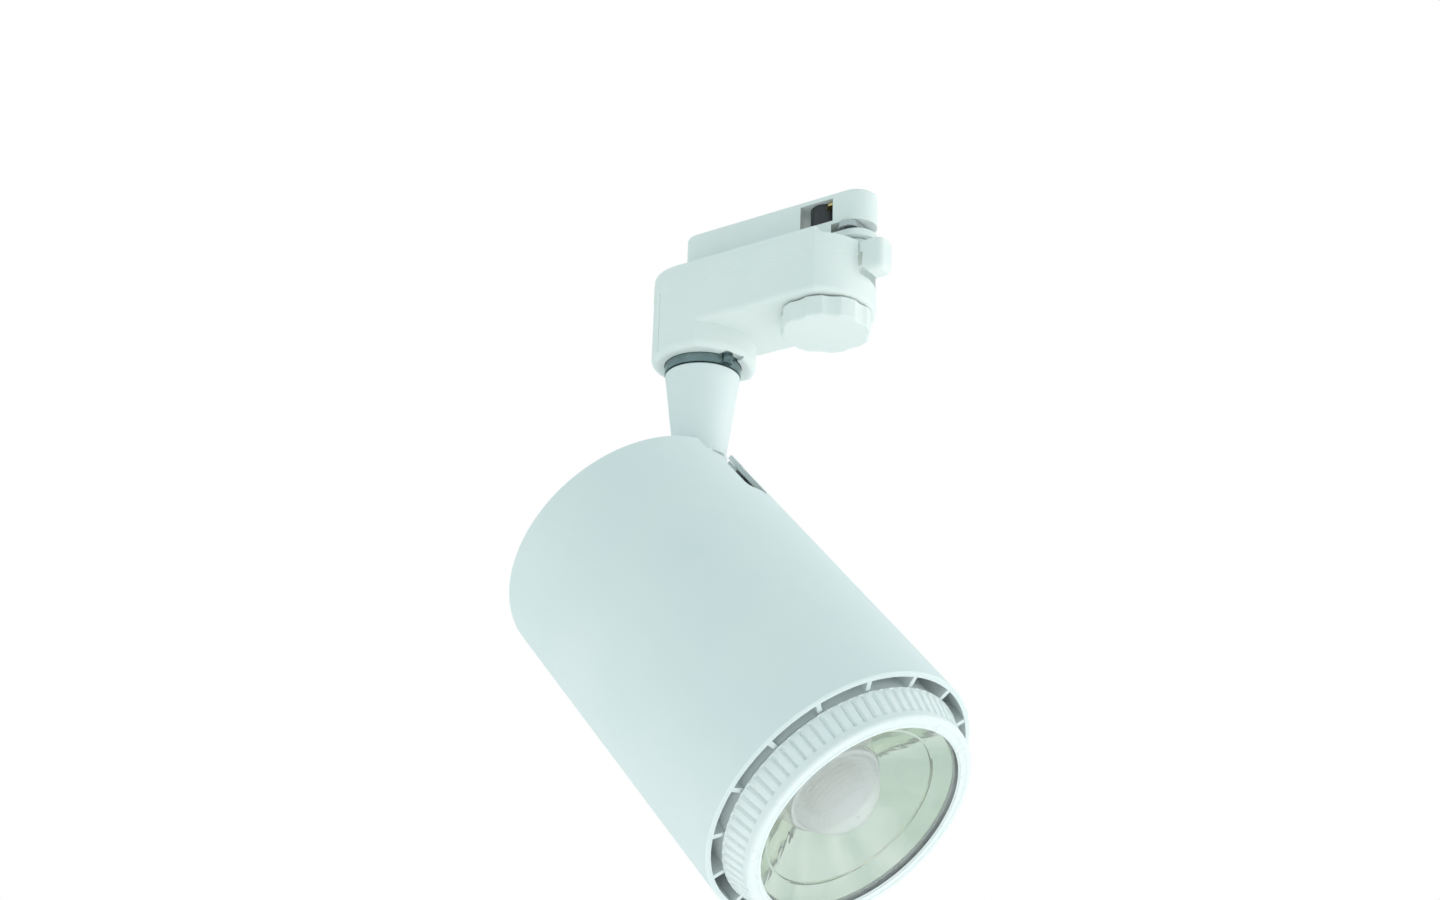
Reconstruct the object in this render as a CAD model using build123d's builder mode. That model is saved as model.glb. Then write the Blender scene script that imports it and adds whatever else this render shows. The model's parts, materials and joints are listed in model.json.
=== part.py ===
from build123d import *
from math import cos, radians, sin, sqrt
import os

# Track spotlight: a three-circuit track adapter, a conical swivel stem and a tubular
# lamp head. Millimetres, +Z up, +X along the track.
# The origin is on the pan axis, in the plane where the adapter meets the track.

os.makedirs("parts", exist_ok=True)

# ---- aim at rest ----
pan_rest = -4.0            # beam heading, degrees from +X
tilt_rest = 47.3           # beam drop below level, degrees

# ---- head ----
head_r = 45.0
head_len = 124.0
head_wall = 1.6
web_count = 16
web_w = 1.5
web_start = 63.5           # distances along the head count from its rear rim
ring_ri = 37.9             # inner ring of the casting
ring_ro = 39.2
slot_half = 8.8            # keyhole slot: the wide part passes the stem's cone
slot_mid = 9.2
neck_slot_half = 5.4       # the narrow part passes the stem's neck
slot_len = 27.0
pivot_s = 15.5             # tilt pivot, along the head
pivot_h = 21.6             # tilt pivot, off the head's centre line
pivot_z = -86.0            # tilt pivot below the track

# ---- adapter ----
half_w = 17.0
plate_t = 2.0              # top flange of the insert
shell_z = -22.0            # underside of the box
boss_z = -30.2             # underside of the swivel boss
boss_floor = 4.4           # thickness under the swivel nut
corner_x = 53.4            # flat sides end here
end_x = 62.4               # crown of the rounded end
boss_corner_x = 8.0
boss_end_x = 16.5
cavity_len = 51.0          # hollow for the terminals
cavity_half = 14.5
cavity_depth = 18.0
screw_mid = 31.0           # middle of the four flange screws
screw_gap_x = 26.0
screw_gap_y = 24.0
tongue_half = 6.6
tongue_top = 16.5
knob_x = 47.4
knob_r = 14.4
knob_z = -29.5
knob_h = 6.75
lock_x = 58.5
lever_half = 4.2
lever_tab_x = 63.3         # inner face of the lever's tab
lever_end_x = 70.0
lever_low = -12.8
lever_sweep = 12.1         # radius the lever needs for its swing

# ---- stem ----
stem_top = -33.5
stem_r = 12.25
stem_taper = 0.1328        # radius lost per millimetre of height
cone_end = -62.0
eye_r = 7.8
eye_half = 4.9             # half the thickness of the neck and the eye
wire_depth = 42.0

# ---- shafts and running fits ----
fit_gap = 0.06
selector_r = 2.5
lock_r = 2.2
nipple_r = 4.9
wire_r = 3.6
pin_r = 3.0

# ---- machine screws ----
screw_r = 1.5
screw_hole_r = 1.7
screw_head_r = 2.8
screw_head_h = 2.0
driver_bit = 0.6           # width of the screws' recesses

# ---- optic ----
heat_face = head_len - 8   # front face of the heat sink
bezel_front = head_len + 10.9
rib_count = 72

# ---- directions of the head ----
pan = radians(pan_rest)
tilt = radians(tilt_rest)
aim = Vector(cos(tilt) * cos(pan), cos(tilt) * sin(pan), -sin(tilt))
up_dir = Vector(sin(tilt) * cos(pan), sin(tilt) * sin(pan), cos(tilt))
tilt_dir = Vector(-sin(pan), cos(pan), 0)
pivot = Vector(0, 0, pivot_z)
rear = pivot - aim * pivot_s - up_dir * pivot_h

head = Plane(origin=rear, x_dir=up_dir, z_dir=aim)          # across the head, at its rear rim
section = Plane(origin=rear, x_dir=up_dir, z_dir=tilt_dir)  # (radius, distance) plane
hinge = Plane(origin=pivot, x_dir=up_dir, z_dir=tilt_dir)   # centred on the tilt pin
head_axis = Axis(rear, aim)


def across(s):
    """Plane across the head at distance s from its rear rim."""
    return head.offset(s)


def level(z):
    """Horizontal plane at height z."""
    return Plane.XY.offset(z)


# ================= adapter =================

insert_screw_spots = [
    (screw_mid + side_x * screw_gap_x / 2, side_y * screw_gap_y / 2)
    for side_x in (1, -1)
    for side_y in (1, -1)
]

# Ring under the boss. Its lug keys it to the boss, and the groove in its underside
# holds the stem's stop pin, which meets the block in the groove at each end of the turn.
stop_pin_ring_r = 10.0
stop_pin_r = 0.9
groove_depth = 1.6
ring_r = 12.5
ring_seat = 1.0
ring_low = stem_top + 0.2
ring_high = boss_z + ring_seat

band_low = -7.6            # a band a hair proud of the shell's sides, below the flange
band_proud = 0.15
end_seam_angle = 115.4     # upright seams at the swivel end
end_seam_low = -29.0

with BuildSketch() as shell_outline:
    with BuildLine():
        Line((corner_x, half_w), (0, half_w))
        ThreePointArc((0, half_w), (-half_w, 0), (0, -half_w))
        Line((0, -half_w), (corner_x, -half_w))
        ThreePointArc((corner_x, -half_w), (end_x, 0), (corner_x, half_w))
    make_face()

with BuildPart() as adapter_shell:
    with BuildSketch(level(-plate_t)):
        add(shell_outline.sketch)
    extrude(amount=shell_z + plate_t)
    fillet(adapter_shell.faces().sort_by(Axis.Z)[0].edges(), radius=1.6)
    # the deep end that carries the swivel
    with BuildSketch(level(-plate_t)):
        with BuildLine():
            Line((boss_corner_x, half_w), (0, half_w))
            ThreePointArc((0, half_w), (-half_w, 0), (0, -half_w))
            Line((0, -half_w), (boss_corner_x, -half_w))
            ThreePointArc((boss_corner_x, -half_w), (boss_end_x, 0), (boss_corner_x, half_w))
        make_face()
    extrude(amount=boss_z + plate_t)
    fillet(adapter_shell.faces().sort_by(Axis.Z)[0].edges(), radius=2.2)
    with BuildSketch(level(band_low)):
        add(shell_outline.sketch)
        offset(amount=band_proud)
    extrude(amount=-plate_t - 0.1 - band_low)
    # hollow for the terminals and the swivel nut, open at the top
    with BuildSketch(level(-plate_t)):
        with Locations((cavity_len / 2, 0)):
            Rectangle(cavity_len, 2 * cavity_half)
    extrude(amount=-cavity_depth, mode=Mode.SUBTRACT)
    with BuildSketch(level(boss_z + boss_floor)):
        Circle(14)
    extrude(amount=-plate_t - boss_z - boss_floor, mode=Mode.SUBTRACT)
    # screw posts
    with BuildSketch(level(-plate_t)):
        with Locations(*insert_screw_spots):
            Circle(3.0)
    extrude(amount=-cavity_depth)
    with BuildSketch(level(-plate_t)):
        with Locations(*insert_screw_spots):
            Circle(1.2)
    extrude(amount=-12, mode=Mode.SUBTRACT)
    # bores for the swivel nipple and the selector shaft
    with BuildSketch(level(boss_z)):
        Circle(nipple_r + fit_gap)
    extrude(amount=6, mode=Mode.SUBTRACT)
    with BuildSketch(level(shell_z)):
        with Locations((knob_x, 0)):
            Circle(selector_r + fit_gap)
    extrude(amount=4, mode=Mode.SUBTRACT)
    # seat of the stop ring, with the keyway for its lug
    with BuildSketch(level(boss_z)):
        Circle(ring_r + 0.2)
        with PolarLocations(13.2, 1, start_angle=-12):
            Rectangle(4.4, 8.0)
    extrude(amount=ring_seat, mode=Mode.SUBTRACT)
    # room for the lock lever, and for its swing to the far side
    with BuildSketch(level(lever_low - 0.4)):
        with Locations((lock_x, 0)):
            Circle(lever_sweep)
            with Locations((lever_sweep - lever_half - 0.4, lever_sweep - lever_half - 0.4)):
                Rectangle(2 * lever_sweep, 2 * lever_sweep, mode=Mode.INTERSECT)
            Circle(lever_half + 0.4)
    extrude(amount=-lever_low, mode=Mode.SUBTRACT)
    # upright seams of the end cap
    with BuildSketch(level(band_low)):
        with PolarLocations(
            half_w, 2, start_angle=end_seam_angle, angular_range=360 - 2 * end_seam_angle, endpoint=True
        ):
            Rectangle(0.7, 0.35)
    extrude(amount=end_seam_low - band_low, mode=Mode.SUBTRACT)

with BuildPart() as track_insert:
    # flange that closes the shell
    with BuildSketch(level(-plate_t)):
        with BuildLine():
            Line((corner_x, half_w), (0, half_w))
            ThreePointArc((0, half_w), (-half_w, 0), (0, -half_w))
            Line((0, -half_w), (corner_x, -half_w))
            Line((corner_x, -half_w), (corner_x, half_w))
        make_face()
    extrude(amount=plate_t)
    # tongue that stands in the track's channel
    with BuildSketch(level(0)):
        with Locations((lock_x / 2, 0)):
            SlotCenterToCenter(lock_x, 2 * tongue_half)
    extrude(amount=tongue_top)
    fillet(track_insert.faces().sort_by(Axis.Z)[-1].edges(), radius=0.8)
    # bay of the contact rotor
    with BuildSketch(level(6.6)):
        with Locations((knob_x, 0)):
            Circle(9.0)
    extrude(amount=8.1, mode=Mode.SUBTRACT)
    # bay of the latch dog
    with BuildSketch(level(2.2)):
        with Locations((lock_x, 0)):
            Circle(8.6)
    extrude(amount=3.2, mode=Mode.SUBTRACT)
    # windows of the neutral and earth contacts
    with BuildSketch(level(9.0)):
        with Locations((27, tongue_half)):
            Rectangle(14, 5)
    extrude(amount=3.4, mode=Mode.SUBTRACT)
    with BuildSketch(level(2.0)):
        with Locations((9, tongue_half), (9, -tongue_half)):
            Rectangle(14, 5)
    extrude(amount=3.4, mode=Mode.SUBTRACT)
    # bores
    with BuildSketch(level(-plate_t)):
        with Locations((knob_x, 0)):
            Circle(selector_r + fit_gap)
    extrude(amount=17.6, mode=Mode.SUBTRACT)
    with BuildSketch(level(0)):
        with Locations((lock_x, 0)):
            Circle(lock_r + fit_gap)
    extrude(amount=8.4, mode=Mode.SUBTRACT)
    with Locations(level(0)):
        with Locations(*insert_screw_spots):
            CounterSinkHole(radius=1.35, counter_sink_radius=2.6, depth=plate_t)

with BuildPart() as insert_screws:
    with BuildSketch(level(-0.1)):
        with Locations(*insert_screw_spots):
            Circle(2.4)
    extrude(amount=-1.1, taper=45)
    with BuildSketch(level(-0.3)):
        with Locations(*insert_screw_spots):
            Circle(1.2)
    extrude(amount=-11)
    with BuildSketch(level(-0.1)):
        with Locations(*insert_screw_spots):
            Rectangle(3.0, 0.5)
            Rectangle(0.5, 3.0)
    extrude(amount=-0.7, mode=Mode.SUBTRACT)

terminal_xs = (23.0, 30.0, 37.0)

with BuildPart() as terminal_block:
    with BuildSketch(level(-20)):
        with Locations((30, 0)):
            RectangleRounded(22, 15, 1)
    extrude(amount=10)
    with BuildSketch(level(-10)):
        with Locations(*[(x, 0) for x in terminal_xs]):
            Circle(2.0)
    extrude(amount=-4, mode=Mode.SUBTRACT)
    with BuildSketch(Plane.XZ.offset(7.5)):
        with Locations(*[(x, -16.2) for x in terminal_xs]):
            Circle(1.6)
    extrude(amount=-15, mode=Mode.SUBTRACT)

with BuildPart() as terminal_screws:
    with BuildSketch(level(-14)):
        with Locations(*[(x, 0) for x in terminal_xs]):
            Circle(1.9)
    extrude(amount=3.2)
    with BuildSketch(level(-10.8)):
        with Locations(*[(x, 0) for x in terminal_xs]):
            Rectangle(3.2, 0.6)
    extrude(amount=-0.9, mode=Mode.SUBTRACT)

with BuildPart() as neutral_contact:
    with BuildSketch(level(9.6)):
        with BuildLine():
            Line((20.6, 4.6), (20.6, 5.2))
            ThreePointArc((20.6, 5.2), (27, 9.0), (33.4, 5.2))
            Line((33.4, 5.2), (33.4, 4.6))
            ThreePointArc((33.4, 4.6), (27, 8.4), (20.6, 4.6))
        make_face()
    extrude(amount=2.2)

with BuildPart() as earth_contact:
    with BuildSketch(level(2.6)):
        for side in (1, -1):
            with BuildLine():
                Line((2.6, side * 4.6), (2.6, side * 5.2))
                ThreePointArc((2.6, side * 5.2), (9, side * 8.6), (15.4, side * 5.2))
                Line((15.4, side * 5.2), (15.4, side * 4.6))
                ThreePointArc((15.4, side * 4.6), (9, side * 8.0), (2.6, side * 4.6))
            make_face()
    extrude(amount=2.2)

with BuildPart() as stop_ring:
    with BuildSketch(level(ring_low)):
        Circle(ring_r)
        Circle(7.0, mode=Mode.SUBTRACT)
    extrude(amount=ring_high - ring_low)
    with BuildSketch(level(ring_low + 0.5)):
        with PolarLocations(12.4, 1, start_angle=-15.7):
            Circle(1.9)
    extrude(amount=ring_high - ring_low - 0.5)
    with BuildSketch(level(ring_low)):
        Circle(stop_pin_ring_r + stop_pin_r + 0.2)
        Circle(stop_pin_ring_r - stop_pin_r - 0.2, mode=Mode.SUBTRACT)
        with Locations((0, -stop_pin_ring_r)):
            Rectangle(0.7, 3, mode=Mode.SUBTRACT)
    extrude(amount=groove_depth, mode=Mode.SUBTRACT)

# ================= circuit selector =================

scoop_r = 9.0

with BuildPart() as selector_knob:
    with BuildSketch(level(knob_z)):
        with Locations((knob_x, 0)):
            Circle(knob_r)
            with PolarLocations(knob_r + scoop_r - 0.8, 8, start_angle=-6.2):
                Circle(scoop_r, mode=Mode.SUBTRACT)
    extrude(amount=knob_h)
    fillet(selector_knob.edges().filter_by(Axis.Z), radius=1.2)
    fillet(selector_knob.faces().sort_by(Axis.Z)[0].edges(), radius=0.8)
    with BuildSketch(level(knob_z + 2.0)):
        with Locations((knob_x, 0)):
            Circle(selector_r)
    extrude(amount=knob_h - 2.0, mode=Mode.SUBTRACT)

with BuildPart() as selector_shaft:
    with BuildSketch(level(knob_z + 2.0)):
        with Locations((knob_x, 0)):
            Circle(selector_r)
    extrude(amount=15.4 - knob_z - 2.0)

rotor_low = 6.9
tongue_levels = (7.6, 10.0, 12.4)

with BuildPart() as contact_rotor:
    with BuildSketch(level(rotor_low)):
        with Locations((knob_x, 0)):
            Circle(5.4)
            Circle(selector_r, mode=Mode.SUBTRACT)
    extrude(amount=7.5)
    for step, z in enumerate(tongue_levels):
        with BuildSketch(level(z)):
            with Locations((knob_x, 0)):
                with PolarLocations(4.4, 1, start_angle=45 - 45 * step):
                    Rectangle(2.4, 3.0)
        extrude(amount=0.8, mode=Mode.SUBTRACT)

with BuildPart() as phase_tongues:
    for step, z in enumerate(tongue_levels):
        with BuildSketch(level(z)):
            with Locations((knob_x, 0)):
                with PolarLocations(5.9, 1, start_angle=45 - 45 * step):
                    SlotOverall(5.2, 3.0)
                with PolarLocations(4.2, 1, start_angle=45 - 45 * step):
                    Rectangle(1.8, 3.0)
        extrude(amount=0.8)

# ================= track lock =================

arm_low = -6.0
arm_high = -2.2

with BuildPart() as lock_lever:
    with BuildSketch(level(arm_low)):
        with Locations((lock_x, 0)):
            Circle(lever_half)
    extrude(amount=-0.3 - arm_low)
    with BuildSketch(level(arm_low)):
        with Locations(((lock_x + lever_end_x) / 2, 0)):
            Rectangle(lever_end_x - lock_x, 2 * lever_half)
    extrude(amount=arm_high - arm_low)
    with BuildSketch(level(lever_low)):
        with Locations(((lever_tab_x + lever_end_x) / 2, 0)):
            Rectangle(lever_end_x - lever_tab_x, 2 * lever_half)
    extrude(amount=arm_high - lever_low)
    fillet(lock_lever.faces().sort_by(Axis.X)[-1].edges().filter_by(Axis.Z), radius=2.4)
    fillet(lock_lever.faces().sort_by(Axis.Z)[0].edges(), radius=2.2)
    with BuildSketch(level(-0.3)):
        with Locations((lock_x, 0)):
            Circle(lock_r)
    extrude(amount=-3.2, mode=Mode.SUBTRACT)

with BuildPart() as lock_shaft:
    with BuildSketch(level(-3.5)):
        with Locations((lock_x, 0)):
            Circle(lock_r)
    extrude(amount=11.5)

with BuildPart() as latch_dog:
    with BuildSketch(level(2.8)):
        with Locations((lock_x, 0)):
            SlotOverall(16.4, 6.6, rotation=90)
            Circle(lock_r, mode=Mode.SUBTRACT)
    extrude(amount=2.0)

# ================= swivel stem =================


def stem_radius(z):
    """Radius of the stem's cone at height z."""
    return stem_r - stem_taper * (stem_top - z)


with BuildPart() as stem:
    with BuildSketch(Plane.XZ):
        with BuildLine():
            Polyline(
                (0, stem_top),
                (stem_r - 0.5, stem_top),
                (stem_r, stem_top - 0.5),
                (stem_radius(cone_end), cone_end),
                (0, cone_end),
                close=True,
            )
        make_face()
    revolve(axis=Axis.Z)
    # flat neck and eye
    with BuildSketch(Plane(origin=(0, 0, cone_end), x_dir=(cos(pan), sin(pan), 0))):
        Rectangle(2 * eye_r - 0.2, 2 * eye_half)
    extrude(amount=pivot_z - cone_end)
    with BuildSketch(hinge):
        Circle(eye_r)
    extrude(amount=eye_half, both=True)
    # thread for the nipple, wire passage and its exit into the head
    with BuildSketch(level(stem_top)):
        Circle(nipple_r)
    extrude(amount=-16, mode=Mode.SUBTRACT)
    with BuildSketch(level(stem_top)):
        Circle(wire_r)
    extrude(amount=-wire_depth, mode=Mode.SUBTRACT)
    with BuildSketch(Plane(origin=(0, 0, -73), x_dir=tilt_dir, z_dir=(cos(pan), sin(pan), 0))):
        Circle(2.6)
    extrude(amount=12, mode=Mode.SUBTRACT)
    # holes of the tilt pin and the stop pin
    with BuildSketch(hinge):
        Circle(pin_r + fit_gap)
    extrude(amount=2 * eye_half, both=True, mode=Mode.SUBTRACT)
    with BuildSketch(level(stem_top)):
        with Locations((0, stop_pin_ring_r)):
            Circle(stop_pin_r)
    extrude(amount=-4, mode=Mode.SUBTRACT)

with BuildPart() as pan_nipple:
    with BuildSketch(level(stem_top - 16)):
        Circle(nipple_r)
        Circle(wire_r, mode=Mode.SUBTRACT)
    extrude(amount=33)

washer_z = boss_z + boss_floor + 0.05
washer_t = 1.2

with BuildPart() as pan_washer:
    with BuildSketch(level(washer_z)):
        Circle(11.0)
        Circle(nipple_r, mode=Mode.SUBTRACT)
    extrude(amount=washer_t)

with BuildPart() as pan_nut:
    with BuildSketch(level(washer_z + washer_t)):
        RegularPolygon(8.1, 6)
        Circle(nipple_r, mode=Mode.SUBTRACT)
    extrude(amount=5)
    chamfer(pan_nut.edges().filter_by(GeomType.LINE).filter_by(Axis.Z, reverse=True), length=0.4)

with BuildPart() as pan_stop_pin:
    with BuildSketch(level(stem_top - 4)):
        with Locations((0, stop_pin_ring_r)):
            Circle(stop_pin_r)
    extrude(amount=4 + groove_depth)

# ================= lamp head: casting and rear =================

inner_r = head_r - head_wall
post_r = 38.8
post_spots = ((0, post_r), (-post_r, 0), (0, -post_r))
boss_post_r = 4.8
lug_x = 17.4
lug_y = 30.2
lug_r = 4.0
lug_len = 10.0
cap_s = 1.0
cap_t = 2.2

with BuildPart() as housing:
    with BuildSketch(head):
        Circle(head_r)
        Circle(inner_r, mode=Mode.SUBTRACT)
    extrude(amount=head_len)
    chamfer(housing.edges().filter_by(GeomType.CIRCLE).group_by(SortBy.RADIUS)[-1], length=0.4)
    # inner ring and the webs that hold it
    with BuildSketch(across(web_start)):
        Circle(ring_ro)
        Circle(ring_ri, mode=Mode.SUBTRACT)
    extrude(amount=head_len - 0.4 - web_start)
    with BuildSketch(across(web_start)):
        with PolarLocations((ring_ro + inner_r) / 2, web_count, start_angle=180 / web_count):
            Rectangle(inner_r - ring_ro + 0.8, web_w)
    extrude(amount=head_len - 0.2 - web_start)
    # posts for the rear cap, lugs for the mounting plate
    with BuildSketch(across(cap_s + cap_t)):
        with Locations(*post_spots):
            Circle(boss_post_r)
        Circle(head_r - 0.4, mode=Mode.INTERSECT)
    extrude(amount=15)
    with BuildSketch(across(web_start)):
        with GridLocations(2 * lug_x, 2 * lug_y, 2, 2):
            Circle(lug_r)
        Circle(ring_ro - 0.2, mode=Mode.INTERSECT)
    extrude(amount=lug_len)
    with BuildSketch(across(cap_s + cap_t)):
        with Locations(*post_spots):
            Circle(screw_r)
    extrude(amount=12, mode=Mode.SUBTRACT)
    with BuildSketch(across(web_start)):
        with GridLocations(2 * lug_x, 2 * lug_y, 2, 2):
            Circle(screw_r)
    extrude(amount=lug_len - 2, mode=Mode.SUBTRACT)
    # slot for the stem, open at the rear rim
    with BuildSketch(Plane(origin=rear + up_dir * 25, x_dir=aim, z_dir=up_dir)):
        with Locations((slot_mid / 2 - 5, 0)):
            RectangleRounded(slot_mid + 10, 2 * slot_half, 2.0)
        with Locations((slot_len / 2 - 5, 0)):
            RectangleRounded(slot_len + 10, 2 * neck_slot_half, 2.5)
    extrude(amount=30, mode=Mode.SUBTRACT)

cap_screw_h = 1.2
vent_pitch = 7.0
cap_slot_low = 12.5        # lower edge of the stem's opening, above the centre line

with BuildPart() as rear_cap:
    with BuildSketch(across(cap_s)):
        Circle(inner_r - 0.2)
    extrude(amount=cap_t)
    with BuildSketch(across(cap_s + cap_t)):
        Circle(inner_r - 0.2)
        Circle(inner_r - 1.8, mode=Mode.SUBTRACT)
        with Locations(*post_spots):
            Circle(boss_post_r + 0.4, mode=Mode.SUBTRACT)
    extrude(amount=2.8)
    # opening for the stem
    with BuildSketch(across(cap_s - 1)):
        with Locations((cap_slot_low + head_r / 2, 0)):
            RectangleRounded(head_r, 2 * slot_half, 3.0)
        with Locations((head_r, 0)):
            Rectangle(head_r / 2, 2 * slot_half)
    extrude(amount=10, mode=Mode.SUBTRACT)
    # vents and screw holes
    with BuildSketch(across(cap_s)):
        for row in range(5):
            with Locations((4 - vent_pitch * row, 0)):
                SlotOverall(50 - 4 * row, 2.6, rotation=90)
        with Locations(*post_spots):
            Circle(screw_hole_r)
    extrude(amount=cap_t, mode=Mode.SUBTRACT)

with BuildPart() as rear_cap_screws:
    with BuildSketch(across(cap_s - cap_screw_h)):
        with Locations(*post_spots):
            Circle(screw_head_r)
    extrude(amount=cap_screw_h)
    with BuildSketch(across(cap_s)):
        with Locations(*post_spots):
            Circle(screw_r)
    extrude(amount=12)
    with BuildSketch(across(cap_s - cap_screw_h)):
        with Locations(*post_spots):
            Rectangle(3.2, driver_bit)
            Rectangle(driver_bit, 3.2)
    extrude(amount=0.8, mode=Mode.SUBTRACT)

# ================= lamp head: tilt hinge =================

washer_gap = 0.1
tilt_washer_t = 0.6
cheek_in = eye_half + washer_gap + tilt_washer_t
cheek_out = cheek_in + 2.0
pin_tail = 6.3             # pin beyond the cheek, on the nut's side
plate_s = 61.5             # mounting plate, along the head
bracket_end = plate_s - pivot_s
cheek_r = 9.0
foot_half = 17.0
foot_screw_y = 13.0
foot_t = 2.0
foot_spots = ((pivot_h, foot_screw_y), (pivot_h, -foot_screw_y))

with BuildPart() as tilt_bracket:
    for side in (1, -1):
        with BuildSketch(hinge.offset(side * cheek_in)):
            Circle(cheek_r)
            with Locations((0, bracket_end / 2)):
                Rectangle(2 * cheek_r, bracket_end)
            Circle(pin_r, mode=Mode.SUBTRACT)
            with Locations((0, 27)):
                SlotOverall(24, 8, rotation=90, mode=Mode.SUBTRACT)
        extrude(amount=side * (cheek_out - cheek_in))
    with BuildSketch(across(plate_s - foot_t)):
        with Locations((pivot_h, 0)):
            Rectangle(2 * cheek_r, 2 * foot_half)
        with Locations(*foot_spots):
            Circle(screw_hole_r, mode=Mode.SUBTRACT)
    extrude(amount=foot_t)

with BuildPart() as bracket_screws:
    with BuildSketch(across(plate_s - foot_t - screw_head_h)):
        with Locations(*foot_spots):
            Circle(screw_head_r)
    extrude(amount=screw_head_h)
    with BuildSketch(across(plate_s - foot_t)):
        with Locations(*foot_spots):
            Circle(screw_r)
    extrude(amount=4.5)

with BuildPart() as tilt_pin:
    with BuildSketch(hinge.offset(-cheek_out - pin_tail)):
        Circle(pin_r)
    extrude(amount=2 * cheek_out + pin_tail)
    with BuildSketch(hinge.offset(cheek_out)):
        Circle(5.0)
    extrude(amount=3)
    fillet(tilt_pin.faces().sort_by(Axis(pivot, tilt_dir))[-1].edges(), radius=0.6)
    with BuildSketch(hinge.offset(cheek_out + 3)):
        RegularPolygon(2.2, 6)
    extrude(amount=-2, mode=Mode.SUBTRACT)

with BuildPart() as tilt_nut:
    with BuildSketch(hinge.offset(-cheek_out)):
        RegularPolygon(5.7, 6)
        Circle(pin_r, mode=Mode.SUBTRACT)
    extrude(amount=-5)

with BuildPart() as tilt_washers:
    for side in (1, -1):
        with BuildSketch(hinge.offset(side * (eye_half + washer_gap))):
            Circle(7.0)
            Circle(pin_r, mode=Mode.SUBTRACT)
        extrude(amount=side * tilt_washer_t)

# ================= lamp head: driver =================

lead_x = -10.3
lead_ys = (2.4, 4.6)
lead_hole = (lead_x, sum(lead_ys) / 2)
case_low = -32.0
case_high = 6.0
case_half = 27.0
case_mid = (case_low + case_high) / 2
case_open = 8.0
case_wall = 1.5
case_floor = 4.5
case_screws = ((case_mid, 20), (case_mid, -20))

with BuildPart() as mounting_plate:
    with BuildSketch(across(plate_s)):
        Circle(ring_ro - 0.2)
        with GridLocations(2 * lug_x, 2 * lug_y, 2, 2):
            Circle(screw_hole_r, mode=Mode.SUBTRACT)
        with Locations(*foot_spots, *case_screws):
            Circle(screw_r, mode=Mode.SUBTRACT)
        with Locations(lead_hole):
            Circle(3.0, mode=Mode.SUBTRACT)
    extrude(amount=web_start - plate_s)

with BuildPart() as mounting_plate_screws:
    with BuildSketch(across(plate_s - screw_head_h)):
        with GridLocations(2 * lug_x, 2 * lug_y, 2, 2):
            Circle(screw_head_r)
    extrude(amount=screw_head_h)
    with BuildSketch(across(plate_s)):
        with GridLocations(2 * lug_x, 2 * lug_y, 2, 2):
            Circle(screw_r)
    extrude(amount=lug_len - 1)

with BuildPart() as driver_case:
    with BuildSketch(across(case_open)):
        with Locations((case_mid, 0)):
            RectangleRounded(case_high - case_low, 2 * case_half, 2)
    extrude(amount=plate_s - case_open)
    with BuildSketch(across(case_open)):
        with Locations((case_mid, 0)):
            RectangleRounded(case_high - case_low - 2 * case_wall, 2 * (case_half - case_wall), 1)
    extrude(amount=plate_s - case_open - case_floor, mode=Mode.SUBTRACT)
    with BuildSketch(across(plate_s - case_floor)):
        with Locations(*case_screws):
            Circle(screw_r)
        with Locations(lead_hole):
            Circle(2.4)
    extrude(amount=case_floor, mode=Mode.SUBTRACT)

with BuildPart() as driver_screws:
    with BuildSketch(across(web_start)):
        with Locations(*case_screws):
            Circle(2.6)
    extrude(amount=1.6)
    with BuildSketch(across(web_start)):
        with Locations(*case_screws):
            Circle(screw_r)
    extrude(amount=-6)

with BuildPart() as driver_lid:
    with BuildSketch(across(case_open - case_wall)):
        with Locations((case_mid, 0)):
            RectangleRounded(case_high - case_low, 2 * case_half, 2)
        with Locations((case_high - 6, 0)):
            Circle(3.2, mode=Mode.SUBTRACT)
    extrude(amount=case_wall)

board_x = case_low + 4.0
board_t = 1.6

with BuildPart() as driver_board:
    with BuildSketch(across(11)):
        with Locations((board_x, 0)):
            Rectangle(board_t, 2 * case_half - 4)
    extrude(amount=44)

part_x = board_x + board_t / 2

with BuildPart() as driver_transformer:
    # two core blocks with the winding between them
    for s in (26, 41):
        with BuildSketch(across(s)):
            with Locations((part_x + 7.5, -3)):
                RectangleRounded(15, 17, 1)
        extrude(amount=4)
    with BuildSketch(across(30)):
        with Locations((part_x + 7.5, -3)):
            RectangleRounded(12.4, 14, 2.5)
    extrude(amount=11)

with BuildPart() as driver_capacitors:
    for s, y, radius, length in ((15, 15, 5.0, 20), (30, -19, 4.0, 16)):
        with BuildSketch(across(s)):
            with Locations((part_x + radius + 0.5, y)):
                Circle(radius)
        extrude(amount=length)

pad_t = 0.3
led_board_t = 1.0
emitter_t = 0.6
emitter_top = pad_t + led_board_t + emitter_t

with BuildPart() as led_leads:
    with BuildSketch(across(plate_s - 4)):
        with Locations(*[(lead_x, y) for y in lead_ys]):
            Circle(0.8)
    extrude(amount=heat_face + emitter_top - plate_s + 4)

# ================= lamp head: light engine =================

base_t = 6.0
fin_pitch = 7.0
fin_r = 37.0
fin_t = 1.8
fin_s = web_start + 12.5   # ends of the fins, clear of the lugs

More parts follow.
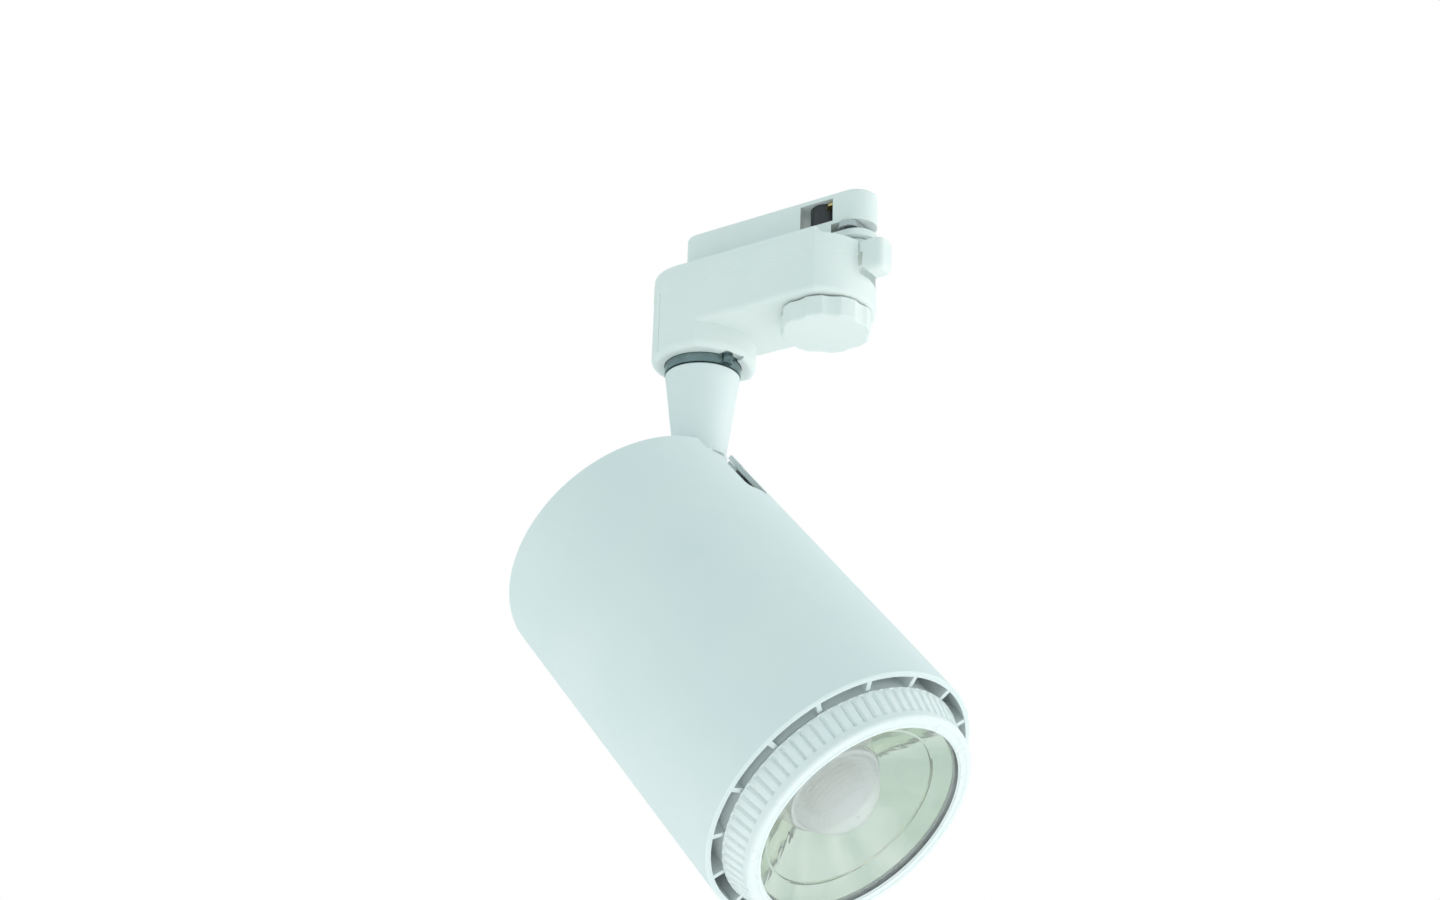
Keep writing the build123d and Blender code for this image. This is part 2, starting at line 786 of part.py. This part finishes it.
with BuildPart() as heat_sink:
    with BuildSketch(across(heat_face - base_t)):
        Circle(ring_ri - 0.05)
    extrude(amount=base_t)
    with BuildSketch(across(fin_s)):
        for row in range(-5, 6):
            with Locations((0, row * fin_pitch)):
                Rectangle(2 * sqrt(fin_r**2 - (row * fin_pitch) ** 2), fin_t)
    extrude(amount=heat_face - base_t - fin_s)
    with BuildSketch(across(heat_face - base_t)):
        with Locations(lead_hole):
            Circle(2.2)
    extrude(amount=base_t, mode=Mode.SUBTRACT)

led_size = 24.0
holder_t = 3.6
holder_screw_y = 18.6
holder_spots = ((0, holder_screw_y), (0, -holder_screw_y))

with BuildPart() as thermal_pad:
    with BuildSketch(across(heat_face)):
        Rectangle(led_size, led_size)
        with Locations(lead_hole):
            SlotOverall(4.4, 2.0, rotation=90, mode=Mode.SUBTRACT)
    extrude(amount=pad_t)

with BuildPart() as led_board:
    with BuildSketch(across(heat_face + pad_t)):
        Rectangle(led_size, led_size)
        with Locations(lead_hole):
            SlotOverall(4.2, 1.8, rotation=90, mode=Mode.SUBTRACT)
    extrude(amount=led_board_t)

with BuildPart() as led_emitter:
    with BuildSketch(across(heat_face + pad_t + led_board_t)):
        Circle(8.5)
    extrude(amount=emitter_t)

with BuildPart() as led_holder:
    with BuildSketch(across(heat_face)):
        Circle(22)
    extrude(amount=holder_t)
    with BuildSketch(across(heat_face)):
        Rectangle(led_size + 0.4, led_size + 0.4)
    extrude(amount=2.4, mode=Mode.SUBTRACT)
    with BuildSketch(across(heat_face)):
        Circle(10)
    extrude(amount=holder_t, mode=Mode.SUBTRACT)
    with Locations(across(heat_face + holder_t)):
        with Locations(*holder_spots):
            CounterSinkHole(radius=1.6, counter_sink_radius=3.0, depth=holder_t)

with BuildPart() as holder_screws:
    for spot in holder_spots:
        with BuildSketch(across(heat_face + holder_t - 0.1)):
            with Locations(spot):
                Circle(screw_head_r)
        extrude(amount=-1.2, taper=45)
        with BuildSketch(across(heat_face + holder_t - 0.2)):
            with Locations(spot):
                Circle(screw_r - 0.1)
        extrude(amount=0.2 - holder_t)

lens_s = heat_face + holder_t + 0.1
lens_r = 14.0
lens_foot = 1.3
lens_h = 11.5              # height of the dome above its foot
lens_curve = (lens_r**2 + lens_h**2) / (2 * lens_h)
lens_top = lens_s + lens_foot + lens_h
pocket_r = 9.0             # hollow over the emitter

with BuildPart() as dome_lens:
    with BuildSketch(section):
        with BuildLine():
            Line((0, lens_s + pocket_r), (0, lens_top))
            ThreePointArc(
                (0, lens_top),
                (lens_curve * sin(radians(45)), lens_top - lens_curve * (1 - cos(radians(45)))),
                (lens_r, lens_s + lens_foot),
            )
            Polyline(
                (lens_r, lens_s + lens_foot),
                (15.0, lens_s + lens_foot),
                (15.0, lens_s),
                (pocket_r, lens_s),
            )
            ThreePointArc(
                (pocket_r, lens_s),
                (pocket_r * sin(radians(45)), lens_s + pocket_r * cos(radians(45))),
                (0, lens_s + pocket_r),
            )
        make_face()
    revolve(axis=head_axis)

# ================= front ring and optic =================

rim_s = head_len + 7.2     # underside of the reflector's rim

with BuildPart() as reflector:
    with BuildSketch(section):
        with BuildLine():
            ThreePointArc((15.4, lens_s + 0.7), (24.6, lens_s + 6.6), (32.9, rim_s + 1.0))
            Polyline((32.9, rim_s + 1.0), (35.4, rim_s + 1.0), (35.4, rim_s), (33.6, rim_s))
            ThreePointArc((33.6, rim_s), (25.5, lens_s + 5.8), (16.3, lens_s + 0.1))
            Line((16.3, lens_s + 0.1), (15.4, lens_s + 0.7))
        make_face()
    revolve(axis=head_axis)

with BuildPart() as retaining_ring:
    with BuildSketch(section):
        with Locations((35.0, rim_s - 0.6)):
            Circle(0.6)
    revolve(axis=head_axis)

with BuildPart() as glass_gasket:
    with BuildSketch(section):
        with Locations((34.4, rim_s + 1.35)):
            Rectangle(2.4, 0.7)
    revolve(axis=head_axis)

with BuildPart() as front_glass:
    with BuildSketch(across(rim_s + 1.7)):
        Circle(35.6)
    extrude(amount=1.4)
    chamfer(front_glass.edges(), length=0.2)

glass_seat = rim_s + 3.1
rib_back = head_len + 0.3
rib_front = head_len + 8.2
rib_crest = 40.15
rib_shrink = 37.95 / rib_crest
spigot_r = 37.6
spigot_s = head_len - 7

with BuildPart() as bezel:
    # grip with half-round ribs on a cone
    for s, scale in ((rib_back, 1.0), (rib_front, rib_shrink)):
        with BuildSketch(across(s)):
            Circle(38.6 * scale)
            with PolarLocations(38.15 * scale, rib_count):
                Circle(2.0 * scale)
    loft(ruled=True)
    # spigot, flange and lip
    with BuildSketch(section):
        with BuildLine():
            Polyline((0, spigot_s), (spigot_r, spigot_s), (spigot_r, rib_back), (36.5, rib_back))
            Polyline((36.5, rib_back), (36.5, rib_front), (37.9, rib_front))
            Line((37.9, rib_front), (37.9, bezel_front - 0.8))
            ThreePointArc(
                (37.9, bezel_front - 0.8),
                (37.9 - 0.8 * (1 - cos(radians(45))), bezel_front - 0.8 * (1 - sin(radians(45)))),
                (37.1, bezel_front),
            )
            Polyline((37.1, bezel_front), (0, bezel_front), (0, spigot_s))
        make_face()
    revolve(axis=head_axis)
    with BuildSketch(section):
        with BuildLine():
            Polyline(
                (0, spigot_s - 1),
                (35.8, spigot_s - 1),
                (35.8, glass_seat),
                (33.2, glass_seat),
                (33.8, bezel_front),
                (33.8, bezel_front + 1),
                (0, bezel_front + 1),
                close=True,
            )
        make_face()
    revolve(axis=head_axis, mode=Mode.SUBTRACT)
    # snap lugs on the spigot
    with BuildSketch(across(spigot_s + 0.5)):
        with PolarLocations(spigot_r, 3):
            Rectangle(1.5, 9)
        Circle(ring_ri - 0.06, mode=Mode.INTERSECT)
        Circle(spigot_r - 1.0, mode=Mode.SUBTRACT)
    extrude(amount=1.8)

# ================= output =================

nodes = {
    "adapter_shell": adapter_shell,
    "track_insert": track_insert,
    "insert_screws": insert_screws,
    "terminal_block": terminal_block,
    "terminal_screws": terminal_screws,
    "neutral_contact": neutral_contact,
    "earth_contact": earth_contact,
    "stop_ring": stop_ring,
    "selector_knob": selector_knob,
    "selector_shaft": selector_shaft,
    "contact_rotor": contact_rotor,
    "phase_tongues": phase_tongues,
    "lock_lever": lock_lever,
    "lock_shaft": lock_shaft,
    "latch_dog": latch_dog,
    "stem": stem,
    "pan_nipple": pan_nipple,
    "pan_washer": pan_washer,
    "pan_nut": pan_nut,
    "pan_stop_pin": pan_stop_pin,
    "housing": housing,
    "rear_cap": rear_cap,
    "rear_cap_screws": rear_cap_screws,
    "tilt_bracket": tilt_bracket,
    "bracket_screws": bracket_screws,
    "tilt_pin": tilt_pin,
    "tilt_nut": tilt_nut,
    "tilt_washers": tilt_washers,
    "mounting_plate": mounting_plate,
    "mounting_plate_screws": mounting_plate_screws,
    "driver_case": driver_case,
    "driver_lid": driver_lid,
    "driver_screws": driver_screws,
    "driver_board": driver_board,
    "driver_transformer": driver_transformer,
    "driver_capacitors": driver_capacitors,
    "led_leads": led_leads,
    "heat_sink": heat_sink,
    "thermal_pad": thermal_pad,
    "led_board": led_board,
    "led_emitter": led_emitter,
    "led_holder": led_holder,
    "holder_screws": holder_screws,
    "dome_lens": dome_lens,
    "reflector": reflector,
    "retaining_ring": retaining_ring,
    "glass_gasket": glass_gasket,
    "front_glass": front_glass,
    "bezel": bezel,
}

for name, piece in nodes.items():
    piece.part.label = name
    export_step(piece.part, f"parts/{name}.step")
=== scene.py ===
import json
from math import asin, cos, pi, radians, sin

import bmesh
import bpy
from mathutils import Matrix, Vector


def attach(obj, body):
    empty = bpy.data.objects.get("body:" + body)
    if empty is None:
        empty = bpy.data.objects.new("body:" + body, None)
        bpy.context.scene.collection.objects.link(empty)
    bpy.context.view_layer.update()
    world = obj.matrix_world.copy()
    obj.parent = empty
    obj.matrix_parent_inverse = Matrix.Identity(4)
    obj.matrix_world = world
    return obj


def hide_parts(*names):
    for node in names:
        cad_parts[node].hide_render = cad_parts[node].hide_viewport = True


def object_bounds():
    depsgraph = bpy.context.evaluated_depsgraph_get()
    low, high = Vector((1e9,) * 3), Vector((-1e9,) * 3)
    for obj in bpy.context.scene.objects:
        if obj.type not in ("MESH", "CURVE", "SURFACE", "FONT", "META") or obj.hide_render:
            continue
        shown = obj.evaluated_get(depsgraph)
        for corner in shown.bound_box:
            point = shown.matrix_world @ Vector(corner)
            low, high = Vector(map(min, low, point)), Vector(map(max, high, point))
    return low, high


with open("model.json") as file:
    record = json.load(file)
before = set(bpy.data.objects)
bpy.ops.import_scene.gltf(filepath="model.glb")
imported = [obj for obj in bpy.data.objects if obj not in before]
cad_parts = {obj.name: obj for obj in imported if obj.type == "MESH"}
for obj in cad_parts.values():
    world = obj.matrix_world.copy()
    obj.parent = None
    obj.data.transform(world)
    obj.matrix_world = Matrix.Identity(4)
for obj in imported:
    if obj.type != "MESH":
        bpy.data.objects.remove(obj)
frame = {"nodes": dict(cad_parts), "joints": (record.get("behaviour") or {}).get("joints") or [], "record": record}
cad_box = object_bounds()
scene = bpy.context.scene
MM = 0.001

# ---- places, read from the frame ----
joints = {joint["name"]: joint for joint in frame["joints"]}
aim = Vector(joints["front_ring_twist"]["axis"]).normalized()
front = Vector(joints["front_ring_twist"]["pos_m"])      # centre of the housing's front rim
tilt_dir = Vector(joints["tilt"]["axis"]).normalized()
up_dir = tilt_dir.cross(aim).normalized()


# ================= materials =================


class Finish:
    """A procedural material: one Principled shader and the patterns that drive it."""

    def __init__(self, name, colour, roughness, metallic=0.0):
        self.material = bpy.data.materials.new(name)
        self.material.use_nodes = True
        self.nodes = self.material.node_tree.nodes
        self.links = self.material.node_tree.links
        self.shader = self.nodes["Principled BSDF"]
        self.set("Base Color", (*colour, 1.0))
        self.set("Roughness", roughness)
        self.set("Metallic", metallic)
        self.colour = colour
        self.place = self.nodes.new("ShaderNodeTexCoord").outputs["Object"]
        self.height = None

    def set(self, socket, value):
        self.shader.inputs[socket].default_value = value

    def stretched(self, scale):
        """Object coordinates, scaled differently along each axis."""
        mapping = self.nodes.new("ShaderNodeMapping")
        mapping.inputs["Scale"].default_value = scale
        self.links.new(self.place, mapping.inputs["Vector"])
        return mapping.outputs["Vector"]

    def noise(self, scale, detail=3.0, place=None):
        texture = self.nodes.new("ShaderNodeTexNoise")
        texture.inputs["Scale"].default_value = scale
        texture.inputs["Detail"].default_value = detail
        self.links.new(place or self.place, texture.inputs["Vector"])
        return texture.outputs["Fac"]

    def cells(self, scale):
        texture = self.nodes.new("ShaderNodeTexVoronoi")
        texture.inputs["Scale"].default_value = scale
        self.links.new(self.place, texture.inputs["Vector"])
        return texture.outputs["Distance"]

    def fitted(self, value, low, high, start=0.35, end=0.65):
        """value from start..end mapped to low..high."""
        span = self.nodes.new("ShaderNodeMapRange")
        span.inputs["From Min"].default_value = start
        span.inputs["From Max"].default_value = end
        span.inputs["To Min"].default_value = low
        span.inputs["To Max"].default_value = high
        self.links.new(value, span.inputs["Value"])
        return span.outputs["Result"]

    def tint(self, other, value):
        """The base colour drifts to other where value is high."""
        mix = self.nodes.new("ShaderNodeMix")
        mix.data_type = "RGBA"
        mix.inputs["A"].default_value = (*self.colour, 1.0)
        mix.inputs["B"].default_value = (*other, 1.0)
        self.links.new(value, mix.inputs["Factor"])
        self.links.new(mix.outputs["Result"], self.shader.inputs["Base Color"])

    def vary_roughness(self, value, low, high):
        self.links.new(self.fitted(value, low, high), self.shader.inputs["Roughness"])

    def relief(self, value, depth):
        """Raises the surface by value times depth, in metres, over any relief already there."""
        bump = self.nodes.new("ShaderNodeBump")
        bump.inputs["Strength"].default_value = 1.0
        bump.inputs["Distance"].default_value = depth
        self.links.new(value, bump.inputs["Height"])
        if self.height:
            self.links.new(self.height, bump.inputs["Normal"])
        self.height = bump.outputs["Normal"]
        self.links.new(self.height, self.shader.inputs["Normal"])


def powder_coat():
    """White satin powder coat: orange peel, fine grain, faint cloudiness."""
    finish = Finish("powder_coat", (0.83, 0.875, 0.87), 0.5)
    cloud = finish.noise(28.0)
    finish.tint((0.80, 0.855, 0.855), finish.fitted(cloud, 0.0, 1.0))
    finish.vary_roughness(finish.noise(140.0), 0.44, 0.56)
    finish.relief(finish.noise(900.0, 1.0), 0.012 * MM)
    finish.relief(finish.noise(3600.0, 2.0), 0.006 * MM)
    finish.set("Specular IOR Level", 0.45)
    return finish.material


def moulded(name, colour, other, low=0.36, high=0.48, spark=0.008):
    """Injection-moulded plastic with a fine spark-eroded texture."""
    finish = Finish(name, colour, (low + high) / 2)
    finish.tint(other, finish.fitted(finish.noise(45.0), 0.0, 1.0))
    finish.vary_roughness(finish.noise(220.0), low, high)
    finish.relief(finish.cells(2600.0), spark * MM)
    finish.relief(finish.noise(300.0, 1.0), 0.01 * MM)
    finish.set("Subsurface Weight", 0.04)
    finish.set("Subsurface Scale", 0.8 * MM)
    return finish.material


def turned(name, colour, other, low, high, lines=(600.0, 600.0, 9000.0)):
    """Metal with the fine lines of turning or drawing along one axis."""
    finish = Finish(name, colour, (low + high) / 2, 1.0)
    streak = finish.noise(1.0, 2.0, finish.stretched(lines))
    finish.tint(other, finish.fitted(finish.noise(90.0), 0.0, 1.0))
    finish.vary_roughness(streak, low, high)
    finish.relief(streak, 0.003 * MM)
    return finish.material


def mirror():
    """Vacuum-metallised plastic: a mirror with soft patches, a faint ripple and a little haze. Its green-yellow
    colour is a painted reflection tint that turns the reflected surroundings pale green.
    """
    # painted reflection colour: the green-yellow base and the darker green patches tint every reflection pale
    # green
    finish = Finish("mirror", (0.90, 0.915, 0.80), 0.08, 1.0)
    finish.tint((0.72, 0.79, 0.63), finish.fitted(finish.noise(42.0), 0.0, 1.0, 0.4, 0.62))
    finish.vary_roughness(finish.noise(180.0), 0.05, 0.12)
    finish.relief(finish.noise(95.0, 3.0), 0.35 * MM)
    return finish.material


def clear(name, ior, roughness, tone, cover):
    """Clear or milky plastic or glass, with faint flow marks. cover is the share of light it stops."""
    finish = Finish(name, tone, roughness)
    finish.set("Alpha", cover)
    finish.set("IOR", ior)
    finish.vary_roughness(finish.noise(70.0), roughness, roughness + 0.02)
    finish.relief(finish.noise(120.0, 1.0), 0.003 * MM)
    return finish.material


def rubber(name, colour, other):
    finish = Finish(name, colour, 0.75)
    finish.tint(other, finish.fitted(finish.noise(200.0), 0.0, 1.0))
    finish.vary_roughness(finish.noise(500.0), 0.65, 0.85)
    finish.relief(finish.noise(2500.0), 0.01 * MM)
    return finish.material


def solder_mask():
    finish = Finish("solder_mask", (0.03, 0.20, 0.10), 0.35)
    finish.tint((0.02, 0.13, 0.07), finish.fitted(finish.cells(260.0), 0.0, 1.0, 0.2, 0.5))
    finish.vary_roughness(finish.noise(300.0), 0.25, 0.45)
    finish.relief(finish.noise(900.0), 0.01 * MM)
    return finish.material


def phosphor():
    """Silicone full of phosphor grains over rows of chips."""
    finish = Finish("phosphor", (0.97, 0.80, 0.66), 0.4)
    finish.tint((0.92, 0.70, 0.54), finish.fitted(finish.cells(1100.0), 0.0, 1.0, 0.1, 0.6))
    finish.vary_roughness(finish.noise(400.0), 0.3, 0.5)
    finish.relief(finish.cells(1100.0), 0.05 * MM)
    return finish.material


def winding():
    """Yellow tape round a transformer's copper."""
    finish = Finish("winding", (0.62, 0.42, 0.10), 0.4)
    layers = finish.noise(1.0, 1.0, finish.stretched((60.0, 60.0, 1400.0)))
    finish.tint((0.45, 0.24, 0.06), finish.fitted(layers, 0.0, 1.0))
    finish.vary_roughness(layers, 0.3, 0.5)
    finish.relief(layers, 0.05 * MM)
    return finish.material


finishes = {
    "white_powder_coat": powder_coat(),
    "white_plastic": moulded("white_plastic", (0.87, 0.90, 0.875), (0.84, 0.88, 0.86)),
    "white_bezel": moulded("white_bezel", (0.88, 0.91, 0.905), (0.86, 0.895, 0.89), 0.26, 0.36, 0.004),
    "black_plastic": moulded("black_plastic", (0.045, 0.047, 0.05), (0.03, 0.03, 0.034)),
    "ring_steel": turned("ring_steel", (0.27, 0.34, 0.35), (0.18, 0.24, 0.25), 0.16, 0.28),
    "steel": turned("steel", (0.62, 0.64, 0.65), (0.50, 0.52, 0.54), 0.22, 0.36),
    "brass": turned("brass", (0.80, 0.60, 0.28), (0.68, 0.47, 0.20), 0.20, 0.34),
    "heat_sink_metal": turned("extruded_aluminium", (0.78, 0.79, 0.80), (0.66, 0.68, 0.69), 0.30, 0.45),
    "reflector_metal": mirror(),
    "clear_glass": clear("clear_glass", 1.5, 0.0, (0.97, 0.99, 0.98), 0.10),
    "clear_lens": clear("clear_lens", 1.49, 0.03, (1.0, 1.0, 1.0), 0.42),
    "grey_rubber": rubber("grey_rubber", (0.42, 0.44, 0.44), (0.34, 0.36, 0.36)),
    "pad_grey": rubber("pad_grey", (0.50, 0.54, 0.60), (0.42, 0.46, 0.52)),
    "circuit_board": solder_mask(),
    "ceramic_board": moulded("ceramic_board", (0.84, 0.84, 0.80), (0.78, 0.78, 0.74)),
    "phosphor": phosphor(),
    "winding": winding(),
    "can_metal": turned("can_metal", (0.36, 0.38, 0.44), (0.28, 0.30, 0.35), 0.3, 0.45),
}

for part in frame["record"]["subparts"]:
    node = frame["nodes"][part["node"]]
    node.data.materials.clear()
    node.data.materials.append(finishes[part["material_slot"]])


# ================= turned pieces =================


def turned_piece(name, replaced, body, slot, profile, steps, depth=None, sharp=28):
    """A closed profile revolved round the head's axis, in place of a CAD node.

    profile holds (distance past the housing's rim, radius, share) in millimetres. depth(turn)
    gives how deep the surface is cut there where share is 1, with turn counted from 0 to 1.
    """
    mesh = bmesh.new()
    rings = []
    for distance, radius, share in profile:
        ring = []
        for step in range(steps):
            cut = share * depth(step / steps) if share else 0.0
            angle = 2 * pi * step / steps
            outward = up_dir * cos(angle) + tilt_dir * sin(angle)
            ring.append(mesh.verts.new(front + aim * distance * MM + outward * (radius - cut) * MM))
        rings.append(ring)
    for near, far in zip(rings, rings[1:] + rings[:1]):
        for step in range(steps):
            following = (step + 1) % steps
            mesh.faces.new((near[step], near[following], far[following], far[step]))
    bmesh.ops.recalc_face_normals(mesh, faces=mesh.faces)
    for face in mesh.faces:
        face.smooth = True
    for edge in mesh.edges:
        edge.smooth = edge.calc_face_angle(0.0) < radians(sharp)
    data = bpy.data.meshes.new(name)
    mesh.to_mesh(data)
    mesh.free()
    data.materials.append(finishes[slot])
    made = bpy.data.objects.new(name, data)
    scene.collection.objects.link(made)
    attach(made, body)
    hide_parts(replaced)
    return made


def arc(centre, radius, start, end, count):
    """Points (distance, radius, 0) on an arc; 0 degrees points outwards, 90 forwards."""
    points = []
    for index in range(count):
        angle = radians(start + (end - start) * index / (count - 1))
        points.append((centre[0] + radius * sin(angle), centre[1] + radius * cos(angle), 0))
    return points


def front_bezel():
    """Grip ring: flat-topped ribs with narrow grooves, a rounded flange and a bead round the glass."""
    ribs, steps_per_rib = 72, 14
    flat_share, groove_depth, crown = 0.62, 1.0, 0.15      # half of a rib's width, and depths in mm
    bore, spigot, chamfer = 35.8, 37.6, 0.3
    spigot_end, back, grip_end, face = -7.0, 0.3, 8.2, 10.9
    crest_back, crest_end = 40.15, 37.95
    flange_round, face_edge = 1.1, 36.2
    recess, recess_outer, recess_inner = 0.3, 35.9, 34.9
    bead_r, bead_middle, glass_opening = 0.4, 34.2, 33.4
    lip = 0.6                                              # the opening's edge behind the face

    def groove(turn):
        across_rib = 1 - abs((turn * ribs) % 1.0 - 0.5) * 2      # 1 in the groove, 0 on the crest
        fall = max(0.0, (across_rib - flat_share) / (1 - flat_share)) ** 0.6
        return groove_depth * fall + crown * across_rib**2

    slope = (crest_end - crest_back) / (grip_end - back)
    profile = [(spigot_end, bore, 0), (spigot_end, spigot - chamfer, 0)]
    profile += [(spigot_end + chamfer, spigot, 0), (back, spigot, 0)]
    profile += [(back, crest_back - crown, 0), (back + 0.3, crest_back, 0), (back + 0.45, crest_back, 1)]
    profile += [(s, crest_back + slope * (s - back), 1) for s in (2.5, 4.5, 6.2)]
    profile += [(7.3, crest_end + 0.2, 0.9), (7.9, crest_end + 0.05, 0.5), (grip_end, crest_end, 0)]
    profile += arc((face - flange_round, crest_end - flange_round), flange_round, 0, 90, 8)
    profile += [(face, face_edge, 0), (face - recess, recess_outer, 0), (face - recess, recess_inner, 0)]
    profile.append((face - 0.05, bead_middle + 0.45, 0))
    profile += arc((face - bead_r, bead_middle), bead_r, 90, 180, 6)
    profile += [(face - lip, glass_opening, 0), (face - lip, bore, 0)]
    turned_piece("bezel_shaped", "bezel", "front_ring", "white_bezel", profile, ribs * steps_per_rib, groove)


def faceted_reflector():
    """Shallow bowl of flat facets in rows, with one fine step between two rows."""
    inner, outer, rim_r, shell_r = 15.4, 32.9, 35.3, 33.8
    low, high, rim_t = -3.6, 8.2, 0.9
    rows, step_row, facets = 10, 7, 96
    bow = 0.14                                             # 0 for a straight cone, more for a deeper bowl
    profile = []
    for row in range(rows + 1):
        share = row / rows
        radius = inner + (outer - inner) * share
        distance = low + (high - low) * ((1 - bow) * share + bow * share**2)
        profile.append((distance, radius, 0))
        if row == step_row:
            profile.append((distance + 0.55, radius + 0.15, 0))
            profile.append((distance + 0.5, radius + 0.7, 0))
    profile += [(high, rim_r, 0), (high - rim_t, rim_r, 0), (high - rim_t, shell_r, 0)]
    profile += [(1.5, 25.5, 0), (low - 0.6, inner + 0.9, 0)]      # back of the bowl, behind the facets
    turned_piece("reflector_faceted", "reflector", "front_ring", "reflector_metal", profile, facets, sharp=2)


def dimpled_lens():
    """Domed lens with rows of dimples above its foot and a hollow over the emitter."""
    foot, dome_r, foot_low, foot_high, top = 15.0, 14.0, -4.3, -3.0, 8.5
    hollow_r, hollow_tip, tip_r, tip_drop = 9, 4.6, 0.3, 0.002
    rows, row_pitch, dimpled_share = 56, 4, 0.55           # dimples start at the foot
    dimples, steps_per_dimple, dimple_depth = 44, 4, 0.3
    height = top - foot_high
    curve = (dome_r**2 + height**2) / (2 * height)

    def dimple(turn):
        return dimple_depth * sin(pi * dimples * turn) ** 2

    profile = [(foot_low, foot, 0), (foot_high, foot, 0), (foot_high, dome_r, 0)]
    widest = asin(dome_r / curve)
    for row in range(1, rows):
        slant = widest * (1 - row / rows)
        share = sin(pi * row / row_pitch) ** 2 if row < dimpled_share * rows else 0
        profile.append((top - curve * (1 - cos(slant)), curve * sin(slant), share))
    profile += [(top - tip_drop, tip_r, 0), (hollow_tip, tip_r, 0)]
    for turn in range(9, 91, 9):
        slant = radians(turn)
        profile.append((foot_low + hollow_r * cos(slant), hollow_r * sin(slant), 0))
    steps = dimples * steps_per_dimple
    turned_piece("dome_lens_dimpled", "dome_lens", "lamp_head", "clear_lens", profile, steps, dimple)


front_bezel()
faceted_reflector()
dimpled_lens()


# ================= studio =================


def camera():
    """Low and to one side, looking up at the lamp, slightly rolled."""
    azimuth, elevation, roll = radians(35.1), radians(22.3), radians(-1.97)
    distance = 0.70
    look_at = Vector((0.0007, 0.0104, -0.0558))
    forward = Vector((-sin(azimuth) * cos(elevation), cos(azimuth) * cos(elevation), sin(elevation)))
    level_right = Vector((cos(azimuth), sin(azimuth), 0))
    level_down = forward.cross(level_right)
    right = level_right * cos(roll) + level_down * sin(roll)
    up = right.cross(forward)
    made = bpy.data.objects.new("camera", bpy.data.cameras.new("camera"))
    made.data.lens = 53.4
    made.data.sensor_width = 36.0
    made.data.clip_start = 0.01
    made.data.clip_end = 50.0
    made.matrix_world = Matrix((right, up, -forward)).transposed().to_4x4()
    made.location = look_at - forward * distance
    scene.collection.objects.link(made)
    scene.camera = made


def panel(name, direction, distance, size, power, colour):
    """A soft box that faces the middle of the part from direction, and doesn't show in mirrors."""
    middle = (cad_box[0] + cad_box[1]) / 2
    light = bpy.data.lights.new(name, "AREA")
    light.shape = "RECTANGLE"
    light.size, light.size_y = size
    light.energy = power
    light.color = colour
    made = bpy.data.objects.new(name, light)
    made.location = middle + Vector(direction).normalized() * distance
    made.rotation_euler = (middle - made.location).to_track_quat("-Z", "Y").to_euler()
    made.visible_camera = False
    made.visible_glossy = False
    made.visible_transmission = False
    scene.collection.objects.link(made)


def floor():
    """A pale floor under the part, with a lamp that faces down and washes it, for light from below."""
    half_width, drop, lamp_height = 4.0, 0.24, 0.15        # the floor is drop under the lowest CAD point
    mesh = bmesh.new()
    bmesh.ops.create_grid(mesh, x_segments=8, y_segments=8, size=half_width)
    data = bpy.data.meshes.new("floor")
    mesh.to_mesh(data)
    mesh.free()
    made = bpy.data.objects.new("floor", data)
    made.location = (0, 0, cad_box[0].z - drop)
    paint = Finish("floor_paint", (0.86, 0.87, 0.87), 0.8)
    paint.tint((0.83, 0.845, 0.845), paint.fitted(paint.noise(3.0), 0.0, 1.0))
    data.materials.append(paint.material)
    scene.collection.objects.link(made)
    made.visible_glossy = False
    wash = bpy.data.lights.new("floor_wash", "AREA")
    wash.size = 1.6
    wash.energy = 4.5
    wash.color = (1.0, 0.95, 0.94)
    lamp = bpy.data.objects.new("floor_wash", wash)
    lamp.location = made.location + Vector((0, 0, lamp_height))
    lamp.visible_camera = False
    lamp.visible_glossy = False
    scene.collection.objects.link(lamp)


def surroundings():
    """White where the camera sees past the part, a softer cool white for light and reflections."""
    world = bpy.data.worlds.new("studio")
    world.use_nodes = True
    nodes, links = world.node_tree.nodes, world.node_tree.links
    nodes.clear()
    seen = nodes.new("ShaderNodeBackground")
    seen.inputs["Color"].default_value = (1.0, 1.0, 1.0, 1.0)
    lit = nodes.new("ShaderNodeBackground")
    lit.inputs["Strength"].default_value = 0.86
    patches = nodes.new("ShaderNodeTexNoise")
    patches.inputs["Scale"].default_value = 3.5
    patches.inputs["Detail"].default_value = 3.0
    room = nodes.new("ShaderNodeMix")
    room.data_type = "RGBA"
    room.inputs["A"].default_value = (0.48, 0.66, 0.66, 1.0)
    room.inputs["B"].default_value = (1.00, 1.12, 1.12, 1.0)
    place = nodes.new("ShaderNodeTexCoord")
    links.new(place.outputs["Generated"], patches.inputs["Vector"])
    links.new(patches.outputs["Fac"], room.inputs["Factor"])
    links.new(room.outputs["Result"], lit.inputs["Color"])
    rays = nodes.new("ShaderNodeLightPath")
    pick = nodes.new("ShaderNodeMixShader")
    out = nodes.new("ShaderNodeOutputWorld")
    links.new(rays.outputs["Is Camera Ray"], pick.inputs["Fac"])
    links.new(lit.outputs["Background"], pick.inputs[1])
    links.new(seen.outputs["Background"], pick.inputs[2])
    links.new(pick.outputs["Shader"], out.inputs["Surface"])
    scene.world = world


camera()
floor()
surroundings()
panel("right_box", (0.8, 0.6, 0.15), 0.9, (0.8, 0.8), 3.0, (1.0, 0.96, 0.95))
panel("key_box", aim, 0.9, (0.9, 0.9), 1.1, (1.0, 0.93, 0.92))
panel("low_box", (-0.3, -0.35, -0.9), 0.7, (0.9, 0.9), 2.5, (1.0, 0.93, 0.92))
panel("left_box", (-1.0, -0.45, -0.35), 0.9, (0.6, 0.6), 0.3, (1.0, 0.97, 0.96))
scene.view_settings.view_transform = "Standard"
